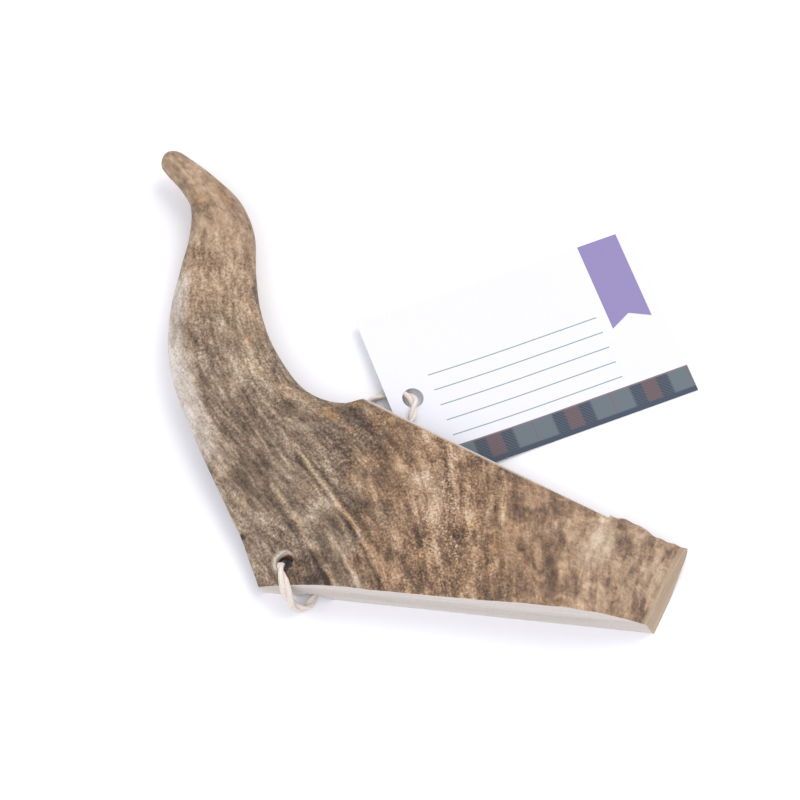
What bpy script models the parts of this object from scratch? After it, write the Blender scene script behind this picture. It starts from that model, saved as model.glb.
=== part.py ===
"""A dog chew sawn from a fallow deer's antler: a tine and part of its palm, with a swing tag tied on.

The antler is grown first, as one body that widens from the tip of the tine into the palm.
Three straight saw cuts then take off what is below, right of and above the piece that is kept,
and a hole for the string is drilled near the lower left corner. The piece lies on its back:
X runs to the right along the long saw cut, Y towards the tip of the tine, Z up from the floor.
The origin is on the floor, at the middle of the antler's bounding box.
"""

import math
from functools import lru_cache

import bmesh
import bpy
import numpy as np
from mathutils import Matrix, Vector, noise

MM = 0.001

# Grown shape, in millimetres, from the tip of the tine to below the long saw cut.
# Each row: left edge x and y, right edge x and y, height of the edges, height of the back.
STATIONS = (
    (-77.4, 70.6, -73.3, 75.2, 8.4, 11.5),
    (-74.9, 66.9, -67.7, 71.2, 8.4, 12.0),
    (-70.0, 61.0, -60.4, 65.2, 8.4, 12.9),
    (-67.2, 55.2, -52.6, 57.0, 8.4, 13.9),
    (-67.4, 46.0, -48.3, 46.6, 8.3, 15.3),
    (-69.9, 34.6, -47.6, 34.0, 8.1, 16.2),
    (-72.4, 21.6, -45.9, 21.6, 8.0, 16.5),
    (-72.6, 9.0, -41.3, 9.2, 7.8, 16.2),
    (-70.2, -2.4, -33.0, -2.4, 7.4, 15.4),
    (-63.9, -18.2, -22.8, -6.4, 7.0, 14.4),
    (-59.0, -29.1, -12.0, -4.8, 6.8, 13.2),
    (-56.0, -35.4, 12.0, -10.0, 6.6, 12.4),
    (-53.2, -41.4, 44.0, -33.9, 6.2, 12.6),
    (-50.6, -46.8, 62.6, -43.8, 5.6, 12.8),
    (-46.4, -58.4, 80.0, -52.4, 4.6, 12.9),
    (-41.4, -71.6, 93.0, -68.0, 4.2, 12.9),
    (-36.0, -84.0, 101.0, -88.0, 4.2, 12.9),
)
TIP_ROUNDING = 3.4          # length over which the tip closes
EDGE_ROUNDING = 14.0        # how far in from an edge the full thickness is reached
BEVEL_RUN = 25.0            # the same on the back of the palm's left edge, which slopes like a blade
BEVEL_TOP_Y = -18.0
BEVEL_FADE = 30.0
BELLY_ROUNDING = 3.0        # and below that edge, which stands on the floor
RIDGE_HEIGHT = 2.4          # a low ridge on the back, towards the right end
RIDGE_X = 34.0
RIDGE_WIDTH = 15.0
RIDGE_LEAN = 0.2            # how far it leans to the right, going up from the long cut
RIDGE_TOP_Y = -20.0         # it has gone above this, and is at its full height RIDGE_FADE below it
RIDGE_FADE = 40.0
END_FALL = 5.6              # how far the back slopes down towards the cut at the right end
END_FALL_RUN = 15.0

# Underside: it arches between the belly of the tine and the long saw cut, where it rests.
TIP_LIFT = 5.8
BELLY_Y = 34.0              # below this the belly of the tine is down on the floor
ARCH_HEIGHT = 7.0
ARCH_RUN = 24.0
ARCH_END_Y = -15.0
ARCH_FADE = 27.0
ARCH_END_X = 38.0           # right of this the arch gets flatter, to ARCH_END_SHARE of its height
ARCH_END_RUN = 26.0
ARCH_END_SHARE = 0.35
WORN_FLAT = 0.6             # how much is worn off where the underside touches the floor
# Hollows in the underside, each x, y, radius, height: over the knot, and where the string goes under.
HOLLOWS = (
    (-38.0, -49.4, 8.8, 6.2),
    (-30.0, -63.0, 4.2, 3.7),
    (-28.8, -59.0, 4.6, 3.5),
    (-27.0, -54.0, 5.6, 4.2),
)

# The grain runs up the palm and into the tine: how far left it has drifted at each height, and the share
# of that drift at each x.
GRAIN_HEIGHTS = (-90.0, -50.0, -25.0, -10.0, 5.0, 20.0, 35.0, 50.0, 60.0, 75.0)
GRAIN_DRIFT = (-21.0, 0.0, 17.2, 27.5, 35.0, 38.8, 38.8, 40.5, 45.0, 54.5)
GRAIN_PLACES = (-38.0, 12.0, 40.0, 75.0)
GRAIN_SHARES = (1.0, 0.1, 0.0, -0.7)
FURROW_WIDTH = 7.5
FURROW_LENGTH = 60.0
FURROW_DEPTH = 0.75
LUMP_SIZE = 21.0
LUMP_HEIGHT = 0.7
UNDERSIDE_RELIEF = 0.5      # how strong the relief is below, next to the back's
KNOB_SIZE = 7.0             # knobs along the raw edge at the upper right
KNOB_HEIGHT = 2.2
KNOB_START_X = 50.0
KNOB_FADE = 15.0
SAW_DENT = 0.6              # the raw edge is dented where the slant cut runs out
SAW_DENT_X = 53.5
SAW_DENT_WIDTH = 2.5

# Saw cuts: the middle of each cut, the direction that the cut face looks in, and the cut's length.
# The slant cut starts in the open notch beside the tine and stops short of the raw edge at the right.
LONG_CUT = ((0.0, -66.1, 0.0), (-0.110, -0.994, 0.0), 260.0)
END_CUT = ((76.9, -50.0, 2.0), (0.861, -0.416, 0.292), 200.0)
SLANT_CUT = ((13.5, -22.6, 12.5), (0.4295, 0.821, 0.375), 89.0)
SAW_DEPTH = 120.0

# Drilled hole and the small pit in the left edge.
HOLE_X = -38.15
HOLE_Y = -55.5
HOLE_RADIUS = 2.45
HOLE_MOUTH_RADIUS = 2.9
HOLE_MOUTH_Z = 8.2
PIT_CENTRE = (-50.2, -46.9, 6.5)
PIT_RADIUS = 1.0

# Swing tag: a card lying right of the tine, its left edge raised over the string.
TAG_WIDTH = 86.0
TAG_HEIGHT = 54.7
TAG_THICKNESS = 0.4
TAG_CORNER = (0.9, -29.9)   # its lower left corner, under the antler
TAG_TURN = math.radians(20.9)
TAG_HOLE = (7.2, 26.3)      # from that corner, along the card
TAG_HOLE_RADIUS = 3.1
TAG_LIFT = 3.1
TAG_CURL = 45.0             # the card is flat on the floor beyond this distance from its left edge
TAG_REST = 0.05

# String: one twine from the knot up the drilled hole, over the long cut's edge and under the antler
# to the tag, up through the tag's hole, and back under the antler to the knot.
STRING_DIAMETER = 2.0
STRING_ROUTE = (
    (-38.2, -51.5, 2.6),
    (-38.5, -53.0, 2.9),
    (-38.7, -54.3, 3.8),
    (-38.9, -55.2, 5.1),
    (-39.0, -55.5, 6.7),
    (-39.05, -55.8, 8.3),
    (-39.05, -56.7, 9.7),
    (-38.9, -58.0, 10.5),
    (-38.6, -59.6, 10.8),
    (-38.2, -61.2, 10.5),
    (-37.8, -62.7, 9.7),
    (-37.4, -63.9, 8.4),
    (-37.0, -64.7, 6.9),
    (-36.5, -65.3, 5.3),
    (-35.8, -65.8, 3.8),
    (-34.8, -66.3, 2.5),
    (-33.3, -66.5, 1.6),
    (-31.5, -65.6, 1.15),
    (-29.9, -63.0, 1.1),
    (-28.4, -59.0, 1.1),
    (-26.0, -49.0, 1.1),
    (-23.2, -37.0, 1.1),
    (-20.8, -25.0, 1.1),
    (-18.8, -14.0, 1.1),
    (-16.6, -6.8, 1.1),
    (-13.6, -3.0, 1.1),
    (-10.4, -1.2, 1.1),
    (-7.4, -0.6, 1.1),
    (-4.9, -0.8, 1.15),
    (-2.9, -1.8, 1.7),
    (-1.75, -3.3, 2.7),
    (-1.4, -5.4, 3.75),
    (-1.7, -8.1, 4.2),
    (-2.5, -11.2, 4.3),
    (-3.9, -14.4, 4.6),
    (-5.8, -18.0, 4.1),
    (-8.6, -22.6, 2.4),
    (-12.0, -27.6, 1.2),
    (-20.0, -37.4, 1.1),
    (-27.0, -43.6, 1.1),
    (-31.2, -45.8, 1.3),
    (-34.0, -47.0, 1.9),
)
STEPS_PER_ROUTE_POINT = 3

# Knot under the palm, beside the hole, with its two short tails.
KNOT_CENTRE = (-38.0, -48.1, 2.4)
KNOT_SIZE = (7.2, 5.8, 4.6)
TAIL_ENDS = ((-44.6, -45.0, 1.1), (-41.0, -41.4, 1.1))
TAIL_RADIUS = 1.0

# How finely the antler is divided.
RINGS = 60
TIP_RINGS = 6
COLUMNS = 30


def clear_scene():
    for item in list(bpy.data.objects):
        bpy.data.objects.remove(item, do_unlink=True)


def plain_material(name, colour, roughness):
    material = bpy.data.materials.new(name)
    material.use_nodes = True
    shader = material.node_tree.nodes["Principled BSDF"]
    shader.inputs["Base Color"].default_value = (*colour, 1.0)
    shader.inputs["Roughness"].default_value = roughness
    shader.inputs["Metallic"].default_value = 0.0
    return material


def add_object(name, mesh, material):
    item = bpy.data.objects.new(name, mesh)
    bpy.context.collection.objects.link(item)
    mesh.materials.append(material)
    return item


def mesh_from(name, build):
    """Makes a mesh with a function that fills a bmesh, and shades it smooth."""
    mesh = bpy.data.meshes.new(name)
    work = bmesh.new()
    build(work)
    bmesh.ops.recalc_face_normals(work, faces=work.faces)
    work.to_mesh(mesh)
    work.free()
    mesh.shade_smooth()
    mesh.set_sharp_from_angle(angle=math.radians(40.0))
    return mesh


def smoothstep(value):
    value = min(max(value, 0.0), 1.0)
    return value * value * (3.0 - 2.0 * value)


def smooth_row(rows, position):
    """Reads a smooth curve through rows of numbers; position counts rows."""
    last = len(rows) - 1
    index = min(max(int(position), 0), last - 1)
    t = position - index
    before = rows[max(index - 1, 0)]
    start = rows[index]
    end = rows[index + 1]
    after = rows[min(index + 2, last)]
    weights = (
        -0.5 * t + t * t - 0.5 * t ** 3,
        1.0 - 2.5 * t * t + 1.5 * t ** 3,
        0.5 * t + 2.0 * t * t - 1.5 * t ** 3,
        -0.5 * t * t + 0.5 * t ** 3,
    )
    return [sum(w * v for w, v in zip(weights, values)) for values in zip(before, start, end, after)]


def ring_positions():
    """Station positions of the rings: close together over the rounded tip, then even along the middle."""
    samples = 400
    last = len(STATIONS) - 1
    lengths = [0.0]
    middles = []
    for step in range(samples + 1):
        row = smooth_row(STATIONS, last * step / samples)
        middles.append(Vector(((row[0] + row[2]) / 2, (row[1] + row[3]) / 2)))
    for first, second in zip(middles, middles[1:]):
        lengths.append(lengths[-1] + (second - first).length)
    distances = []
    for step in range(1, TIP_RINGS):
        distances.append(TIP_ROUNDING * (1.0 - math.cos(math.pi / 2 * step / TIP_RINGS)))
    for step in range(RINGS + 1):
        distances.append(TIP_ROUNDING + (lengths[-1] - TIP_ROUNDING) * step / RINGS)
    positions = []
    index = 0
    for distance in distances:
        while index < samples - 1 and lengths[index + 1] < distance:
            index += 1
        part = (distance - lengths[index]) / (lengths[index + 1] - lengths[index])
        positions.append((min(last * (index + part) / samples, last), distance))
    return positions


@lru_cache(maxsize=None)
def edge_curve(column):
    """The plan of one edge: column 0 is the left edge, column 2 the right."""
    steps = 12 * (len(STATIONS) - 1)
    return np.array([smooth_row(STATIONS, step / 12)[column:column + 2] for step in range(steps + 1)])


def edge_distances(x, y):
    """Distances in plan to the left and to the right edge of the grown shape."""
    nearest = []
    for column in (0, 2):
        curve = edge_curve(column)
        start = curve[:-1]
        run = curve[1:] - start
        along = ((np.array((x, y)) - start) * run).sum(axis=1) / (run * run).sum(axis=1)
        foot = start + run * np.clip(along, 0.0, 1.0)[:, None]
        nearest.append(np.hypot(foot[:, 0] - x, foot[:, 1] - y).min())
    return nearest


def rounded(distance, run, bevel=0.0):
    """From 0 at an edge to 1 at the full thickness: an arc, or with bevel 1 a flatter slope."""
    outside = 1.0 - min(distance / run, 1.0)
    return (1.0 - outside ** 2) ** (0.5 + 0.5 * bevel)


def fullness(x, y, half_width):
    """How much of its full height the back, and then the underside, has at this place."""
    left, right = edge_distances(x, y)
    palm = smoothstep((BEVEL_TOP_Y - y) / BEVEL_FADE)
    run = min(half_width, EDGE_ROUNDING)
    bevel_run = run + (BEVEL_RUN - run) * palm
    belly_run = run + (BELLY_ROUNDING - run) * palm
    above = min(rounded(left, bevel_run, palm), rounded(right, run))
    below = min(rounded(left, belly_run), rounded(right, run))
    return above, below


def grain(x, y):
    """Millimetres across and along the grain, which leans left on the palm's left half and right at its end."""
    drift = np.interp(y, GRAIN_HEIGHTS, GRAIN_DRIFT)
    share = np.interp(x, GRAIN_PLACES, GRAIN_SHARES)
    return x + share * drift, y


def relief(x, y, side):
    """Furrows along the grain and broad lumps; side tells the back from the underside."""
    across, along = grain(x, y)
    furrow = noise.noise(Vector((across / FURROW_WIDTH, along / FURROW_LENGTH, 3.0 + 9.0 * side)))
    lump = noise.noise(Vector((x / LUMP_SIZE, y / LUMP_SIZE, 7.0 + 5.0 * side)))
    strength = 1.0 if side else UNDERSIDE_RELIEF
    return strength * (FURROW_DEPTH * furrow + LUMP_HEIGHT * lump)


def underside_height(x, y):
    """How far the middle of the underside stands off the floor; below zero is worn flat."""
    from_cut = -((x - LONG_CUT[0][0]) * LONG_CUT[1][0] + (y - LONG_CUT[0][1]) * LONG_CUT[1][1])
    arch = ARCH_HEIGHT * smoothstep(from_cut / ARCH_RUN)
    arch *= 1.0 - smoothstep((y - ARCH_END_Y) / ARCH_FADE)
    arch *= 1.0 - (1.0 - ARCH_END_SHARE) * smoothstep((x - ARCH_END_X) / ARCH_END_RUN)
    for centre_x, centre_y, radius, height in HOLLOWS:
        away = math.hypot(x - centre_x, y - centre_y)
        arch = max(arch, height * math.exp(-(away / radius) ** 4))
    tip = TIP_LIFT * max(0.0, (y - BELLY_Y) / (STATIONS[0][3] - BELLY_Y)) ** 1.3
    return arch + tip - WORN_FLAT


def antler_point(row, share, side, cap):
    """A point on the antler: share runs from the left edge to the right, side is 1 on the back and 0 below."""
    left = Vector((row[0], row[1]))
    right = Vector((row[2], row[3]))
    rim = row[4]
    back = row[5]
    middle = (left + right) / 2
    place = left.lerp(right, share)
    above, below = fullness(*place, (right - left).length / 2)
    x, y = middle + (place - middle) * cap
    ridge = RIDGE_HEIGHT * math.exp(-((x - RIDGE_X - RIDGE_LEAN * (y - LONG_CUT[0][1])) / RIDGE_WIDTH) ** 2)
    ridge *= smoothstep((RIDGE_TOP_Y - y) / RIDGE_FADE)
    from_end = -((x - END_CUT[0][0]) * END_CUT[1][0] + (y - END_CUT[0][1]) * END_CUT[1][1])
    fall = END_FALL * (1.0 - smoothstep(from_end / END_FALL_RUN))
    if side:
        z = rim + (back + ridge - fall - rim + relief(x, y, side)) * above * cap
    else:
        z = rim - (rim - underside_height(x, y) + relief(x, y, side)) * below * cap
    knob = KNOB_HEIGHT * noise.noise(Vector((x / KNOB_SIZE, y / KNOB_SIZE, 2.0)))
    knob *= smoothstep((x - KNOB_START_X) / KNOB_FADE)
    knob -= SAW_DENT * math.exp(-((x - SAW_DENT_X) / SAW_DENT_WIDTH) ** 2)
    knob *= 1.0 - above
    return Vector((x, y + knob, max(z, 0.0))) * MM


def column_shares():
    """Where the columns stand across a ring: closer together at the two edges."""
    shares = []
    for step in range(COLUMNS + 1):
        even = step / COLUMNS
        crowded = (1.0 - math.cos(math.pi * even)) / 2
        shares.append(0.35 * even + 0.65 * crowded)
    return shares


def grow_antler(work):
    """Fills a bmesh with the whole grown shape: rings of vertices from the tip to the last station."""
    shares = column_shares()
    rings = []
    for position, distance in ring_positions():
        row = smooth_row(STATIONS, position)
        cap = math.sqrt(1.0 - (1.0 - min(distance / TIP_ROUNDING, 1.0)) ** 2)
        back = [antler_point(row, share, 1, cap) for share in shares]
        below = [antler_point(row, share, 0, cap) for share in reversed(shares[1:-1])]
        rings.append([work.verts.new(point) for point in back + below])
    first = STATIONS[0]
    tip = work.verts.new(Vector(((first[0] + first[2]) / 2, (first[1] + first[3]) / 2, first[4])) * MM)
    count = len(rings[0])
    for index in range(count):
        work.faces.new((tip, rings[0][index], rings[0][(index + 1) % count]))
    for ring, following in zip(rings, rings[1:]):
        for index in range(count):
            beside = (index + 1) % count
            work.faces.new((ring[index], following[index], following[beside], ring[beside]))
    work.faces.new(rings[-1])


def add_cutter(name, mesh, target):
    """Takes a mesh's shape away from the target."""
    cutter = bpy.data.objects.new(name, mesh)
    bpy.context.collection.objects.link(cutter)
    cutter.hide_render = True
    cutter.display_type = "WIRE"
    cut = target.modifiers.new(name, "BOOLEAN")
    cut.operation = "DIFFERENCE"
    cut.solver = "EXACT"
    cut.object = cutter
    return cutter


def saw(target, name, cut):
    """Saws off what lies beyond a plane, with a block whose face is on the plane."""
    point = Vector(cut[0]) * MM
    direction = Vector(cut[1]).normalized()
    length = cut[2] * MM
    depth = SAW_DEPTH * MM

    def block(work):
        bmesh.ops.create_cube(work, size=1.0)
        bmesh.ops.scale(work, verts=work.verts, vec=(length, depth, depth))
        bmesh.ops.translate(work, verts=work.verts, vec=(0.0, 0.0, depth / 2))

    cutter = add_cutter(name, mesh_from(name, block), target)
    turn = direction.to_track_quat("Z", "Y").to_matrix().to_4x4()
    cutter.matrix_world = Matrix.Translation(point) @ turn


def turned(work, profile, segments):
    """Spins a profile of (radius, height) pairs around Z, closed at both ends on the axis."""
    rings = []
    for radius, height in profile:
        ring = []
        for index in range(segments):
            angle = math.tau * index / segments
            ring.append(work.verts.new((radius * math.cos(angle), radius * math.sin(angle), height)))
        rings.append(ring)
    for ring, following in zip(rings, rings[1:]):
        for index in range(segments):
            beside = (index + 1) % segments
            work.faces.new((ring[index], ring[beside], following[beside], following[index]))
    work.faces.new(rings[0])
    work.faces.new(rings[-1])


def drill(target):
    """Drills the string's hole, its mouth chipped wider than the bit."""
    profile = (
        (HOLE_RADIUS * MM, -5.0 * MM),
        (HOLE_RADIUS * MM, HOLE_MOUTH_Z * MM),
        (HOLE_MOUTH_RADIUS * MM, (HOLE_MOUTH_Z + 1.4) * MM),
        (HOLE_MOUTH_RADIUS * MM, 30.0 * MM),
    )
    mesh = mesh_from("drill", lambda work: turned(work, profile, 20))
    cutter = add_cutter("drill", mesh, target)
    cutter.location = (HOLE_X * MM, HOLE_Y * MM, 0.0)


def pit(target):
    mesh = mesh_from("pit", lambda work: bmesh.ops.create_icosphere(work, subdivisions=2, radius=PIT_RADIUS * MM))
    cutter = add_cutter("pit", mesh, target)
    cutter.location = Vector(PIT_CENTRE) * MM


def make_antler():
    material = plain_material("antler_bone", (0.26, 0.18, 0.12), 0.6)
    antler = add_object("antler", mesh_from("antler", grow_antler), material)
    saw(antler, "long_cut", LONG_CUT)
    saw(antler, "end_cut", END_CUT)
    saw(antler, "slant_cut", SLANT_CUT)
    drill(antler)
    pit(antler)
    return antler


def tag_height(along):
    """Height of the card's lower face above the floor, from the distance to its left edge."""
    return TAG_REST + TAG_LIFT * max(0.0, 1.0 - along / TAG_CURL) ** 2


def make_tag():
    """The card: a sheet curled up at its left edge, with a punched hole."""
    columns = 24

    def sheet(work):
        layers = []
        for level in (0.0, TAG_THICKNESS):
            rows = []
            for across in (0.0, TAG_HEIGHT):
                row = []
                for step in range(columns + 1):
                    along = TAG_WIDTH * (step / columns) ** 1.3
                    row.append(work.verts.new(Vector((along, across, tag_height(along) + level)) * MM))
                rows.append(row)
            layers.append(rows)
        low, high = layers
        for step in range(columns):
            for rows in (low, high):
                work.faces.new((rows[0][step], rows[0][step + 1], rows[1][step + 1], rows[1][step]))
            for row in (0, 1):
                work.faces.new((low[row][step], low[row][step + 1], high[row][step + 1], high[row][step]))
        for step in (0, columns):
            work.faces.new((low[0][step], low[1][step], high[1][step], high[0][step]))

    tag = add_object("tag", mesh_from("tag", sheet), plain_material("tag_card", (0.85, 0.85, 0.86), 0.5))
    tag.location = (TAG_CORNER[0] * MM, TAG_CORNER[1] * MM, 0.0)
    tag.rotation_euler = (0.0, 0.0, TAG_TURN)
    profile = ((TAG_HOLE_RADIUS * MM, -2.0 * MM), (TAG_HOLE_RADIUS * MM, 8.0 * MM))
    punch = add_cutter("punch", mesh_from("punch", lambda work: turned(work, profile, 24)), tag)
    punch.parent = tag
    punch.location = (TAG_HOLE[0] * MM, TAG_HOLE[1] * MM, 0.0)
    return tag


def make_string():
    count = (len(STRING_ROUTE) - 1) * STEPS_PER_ROUTE_POINT
    curve = bpy.data.curves.new("string", "CURVE")
    curve.dimensions = "3D"
    curve.bevel_depth = STRING_DIAMETER / 2 * MM
    curve.bevel_resolution = 2
    curve.use_fill_caps = True
    spline = curve.splines.new("POLY")
    spline.points.add(count)
    for index, point in enumerate(spline.points):
        x, y, z = smooth_row(STRING_ROUTE, index / STEPS_PER_ROUTE_POINT)
        point.co = (x * MM, y * MM, z * MM, 1.0)
    curve.materials.append(plain_material("string_cotton", (0.72, 0.66, 0.56), 0.9))
    string = bpy.data.objects.new("string", curve)
    bpy.context.collection.objects.link(string)
    return string


def make_knot():
    """The tied ends: a pressed ball with a groove around it, and two tails joined on."""
    def ball(work):
        bmesh.ops.create_uvsphere(work, u_segments=20, v_segments=12, radius=0.5)
        for vert in work.verts:
            turn = math.atan2(vert.co.y, vert.co.x)
            wrap = 1.0 + 0.07 * math.cos(3.0 * turn + 8.0 * vert.co.z)
            vert.co.x *= wrap * KNOT_SIZE[0] * MM
            vert.co.y *= wrap * KNOT_SIZE[1] * MM
            vert.co.z *= KNOT_SIZE[2] * MM

    knot = add_object("knot", mesh_from("knot", ball), plain_material("knot_cotton", (0.70, 0.64, 0.54), 0.9))
    knot.location = Vector(KNOT_CENTRE) * MM
    for number, end in enumerate(TAIL_ENDS):
        start = Vector((KNOT_CENTRE[0], KNOT_CENTRE[1], end[2]))
        reach = Vector(end) - start
        profile = ((TAIL_RADIUS * MM, 0.0), (TAIL_RADIUS * MM, reach.length * MM))
        mesh = mesh_from("tail_%d" % number, lambda work: turned(work, profile, 8))
        tail = add_cutter("tail_%d" % number, mesh, knot)
        tail.matrix_world = Matrix.Translation(start * MM) @ reach.to_track_quat("Z", "Y").to_matrix().to_4x4()
        knot.modifiers["tail_%d" % number].operation = "UNION"
    return knot


def main():
    clear_scene()
    make_antler()
    make_tag()
    make_string()
    make_knot()


main()
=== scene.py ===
"""Dresses the antler chew: a detailed antler, two-ply twine with its knot, and a printed card.

Everything is in metres, in the frame of the CAD. Shapes are worked out in millimetres and scaled by MM.
"""

import math
from functools import lru_cache

import bmesh
import bpy
import numpy as np
from mathutils import Matrix, Vector, noise

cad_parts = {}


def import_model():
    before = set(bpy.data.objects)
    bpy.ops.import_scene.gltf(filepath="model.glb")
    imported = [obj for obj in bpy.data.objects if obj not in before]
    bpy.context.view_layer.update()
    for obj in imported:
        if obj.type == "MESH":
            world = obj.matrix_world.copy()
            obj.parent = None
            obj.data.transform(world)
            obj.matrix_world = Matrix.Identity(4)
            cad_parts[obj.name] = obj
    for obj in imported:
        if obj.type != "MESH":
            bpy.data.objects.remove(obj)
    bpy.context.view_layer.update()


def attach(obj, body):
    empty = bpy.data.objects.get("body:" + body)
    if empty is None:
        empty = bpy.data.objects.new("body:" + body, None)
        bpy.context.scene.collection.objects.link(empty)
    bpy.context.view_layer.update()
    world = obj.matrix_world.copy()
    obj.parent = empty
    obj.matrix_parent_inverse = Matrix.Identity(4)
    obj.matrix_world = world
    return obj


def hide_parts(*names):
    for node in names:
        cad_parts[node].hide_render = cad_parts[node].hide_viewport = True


MM = 0.001

# Camera: 900 mm from the object, looking down at 68 degrees.
CAMERA_PLACE = (-0.0055, -0.3395, 0.8345)
CAMERA_TILT = math.radians(22.0)
CAMERA_LENS = 139.3

# Grown shape of the antler, as in the CAD: left edge x and y, right edge x and y, height of the edges
# and height of the back.
STATIONS = (
    (-77.4, 70.6, -73.3, 75.2, 8.4, 11.5),
    (-74.9, 66.9, -67.7, 71.2, 8.4, 12.0),
    (-70.0, 61.0, -60.4, 65.2, 8.4, 12.9),
    (-67.2, 55.2, -52.6, 57.0, 8.4, 13.9),
    (-67.4, 46.0, -48.3, 46.6, 8.3, 15.3),
    (-69.9, 34.6, -47.6, 34.0, 8.1, 16.2),
    (-72.4, 21.6, -45.9, 21.6, 8.0, 16.5),
    (-72.6, 9.0, -41.3, 9.2, 7.8, 16.2),
    (-70.2, -2.4, -33.0, -2.4, 7.4, 15.4),
    (-63.9, -18.2, -22.8, -6.4, 7.0, 14.4),
    (-59.0, -29.1, -12.0, -4.8, 6.8, 13.2),
    (-56.0, -35.4, 12.0, -10.0, 6.6, 12.4),
    (-53.2, -41.4, 44.0, -33.9, 6.2, 12.6),
    (-50.6, -46.8, 62.6, -43.8, 5.6, 12.8),
    (-46.4, -58.4, 80.0, -52.4, 4.6, 12.9),
    (-41.4, -71.6, 93.0, -68.0, 4.2, 12.9),
    (-36.0, -84.0, 101.0, -88.0, 4.2, 12.9),
)
TIP_ROUNDING = 3.4
EDGE_ROUNDING = 14.0
BEVEL_RUN = 25.0
BEVEL_TOP_Y = -18.0
BEVEL_FADE = 30.0
BELLY_ROUNDING = 3.0
RIDGE_HEIGHT = 2.4
RIDGE_X = 34.0
RIDGE_WIDTH = 15.0
RIDGE_LEAN = 0.2
RIDGE_TOP_Y = -20.0
RIDGE_FADE = 40.0
END_FALL = 5.6
END_FALL_RUN = 15.0
TIP_LIFT = 5.8
BELLY_Y = 34.0
ARCH_HEIGHT = 7.0
ARCH_RUN = 24.0
ARCH_END_Y = -15.0
ARCH_FADE = 27.0
ARCH_END_X = 38.0
ARCH_END_RUN = 26.0
ARCH_END_SHARE = 0.35
WORN_FLAT = 0.6
HOLLOWS = (
    (-38.0, -49.4, 8.8, 6.2),
    (-30.0, -63.0, 4.2, 3.7),
    (-28.8, -59.0, 4.6, 3.5),
    (-27.0, -54.0, 5.6, 4.2),
)
# Grain: how far left it has drifted at each height, and the share of that drift at each x.
GRAIN_HEIGHTS = (-90.0, -50.0, -25.0, -10.0, 5.0, 20.0, 35.0, 50.0, 60.0, 75.0)
GRAIN_DRIFT = (-21.0, 0.0, 17.2, 27.5, 35.0, 38.8, 38.8, 40.5, 45.0, 54.5)
GRAIN_PLACES = (-38.0, 12.0, 40.0, 75.0)
GRAIN_SHARES = (1.0, 0.1, 0.0, -0.7)
FURROW_WIDTH = 7.5
FURROW_LENGTH = 60.0
FURROW_DEPTH = 0.75
LUMP_SIZE = 21.0
LUMP_HEIGHT = 0.7
UNDERSIDE_RELIEF = 0.5
KNOB_SIZE = 7.0
KNOB_HEIGHT = 2.2
KNOB_START_X = 50.0
KNOB_FADE = 15.0
SMALL_KNOB_SIZE = 2.4       # smaller knobs along that edge, from a start to full height further right
SMALL_KNOB_HEIGHT = 0.9
SMALL_KNOB_START_X = 40.0
SMALL_KNOB_FULL_X = 50.0
SAW_DENT = 0.6
SAW_DENT_X = 53.5
SAW_DENT_WIDTH = 2.5

# Saw cuts: middle of the cut, direction that its face looks in, and length.
LONG_CUT = ((0.0, -66.1, 0.0), (-0.110, -0.994, 0.0), 260.0)
END_CUT = ((76.9, -50.0, 2.0), (0.861, -0.416, 0.292), 200.0)
SLANT_CUT = ((13.5, -22.6, 12.5), (0.4295, 0.821, 0.375), 89.0)
SAW_DEPTH = 120.0
HOLE_X = -38.15
HOLE_Y = -55.5
# The hole's bore, chipped out towards its mouth: height, radius, how far right of the mouth, how uneven.
HOLE_PROFILE = (
    (-5.0, 2.3, 0.25, 0.0),
    (7.2, 2.3, 0.25, 0.0),
    (8.6, 2.5, 0.1, 0.4),
    (9.8, 2.8, -0.1, 1.0),
    (30.0, 2.9, -0.1, 1.0),
)
HOLE_CHIP = 0.9
HOLE_SLOPE = 0.9            # how much lower the bore's wall stays free of painted shade on its left, the side turned to the light
BORE_SHADE_HEIGHTS = (8.6, 7.2)    # painted shade on the bore's wall: none above the first height, full below the second
BORE_REACH = 3.2            # faces nearer to the hole's axis than this, and turned to it, are its wall
# A small pit cut into the skin; skin_marks darkens its inside with painted shade.
PIT_CENTRE = (-50.2, -46.9, 6.5)
PIT_RADIUS = 1.0

# How finely the antler is divided.
RINGS = 250
TIP_RINGS = 14
BACK_COLUMNS = 150
BELOW_COLUMNS = 66

# Fine shape of the skin: heights on the tine, and how much more on the palm or at the right end.
FINE_FURROW = 0.08
FINE_FURROW_PALM = 0.13
FINE_GRAIN = 0.12
FINE_GRAIN_PALM = 0.06
FINE_LUMP = 0.12
FINE_LUMP_RIGHT = 0.30
VEIN_WANDER = 0.7           # how far a vein strays sideways
VEIN_FURROW = 0.55          # depth of the furrow beside a vein, next to the vein's height
# Raised veins on the palm: x and y of both ends, width, height.
VEINS = (
    ((-35.3, -22.0), (-17.4, -47.3), 0.7, 0.5),
    ((-31.9, -49.2), (-23.2, -64.5), 0.7, 0.4),
    ((-19.0, -44.3), (-8.0, -66.1), 0.6, 0.35),
    ((-42.0, -33.0), (-33.0, -46.0), 1.2, 0.25),
    ((-26.0, -47.0), (-15.5, -66.0), 0.6, 0.25),
    ((8.7, -20.8), (10.0, -38.1), 0.7, 0.45),
    ((13.5, -32.1), (13.6, -50.1), 0.7, 0.4),
    ((3.5, -38.0), (2.5, -64.0), 0.8, 0.3),
    ((24.0, -30.0), (23.0, -46.0), 0.7, 0.25),
)

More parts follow.
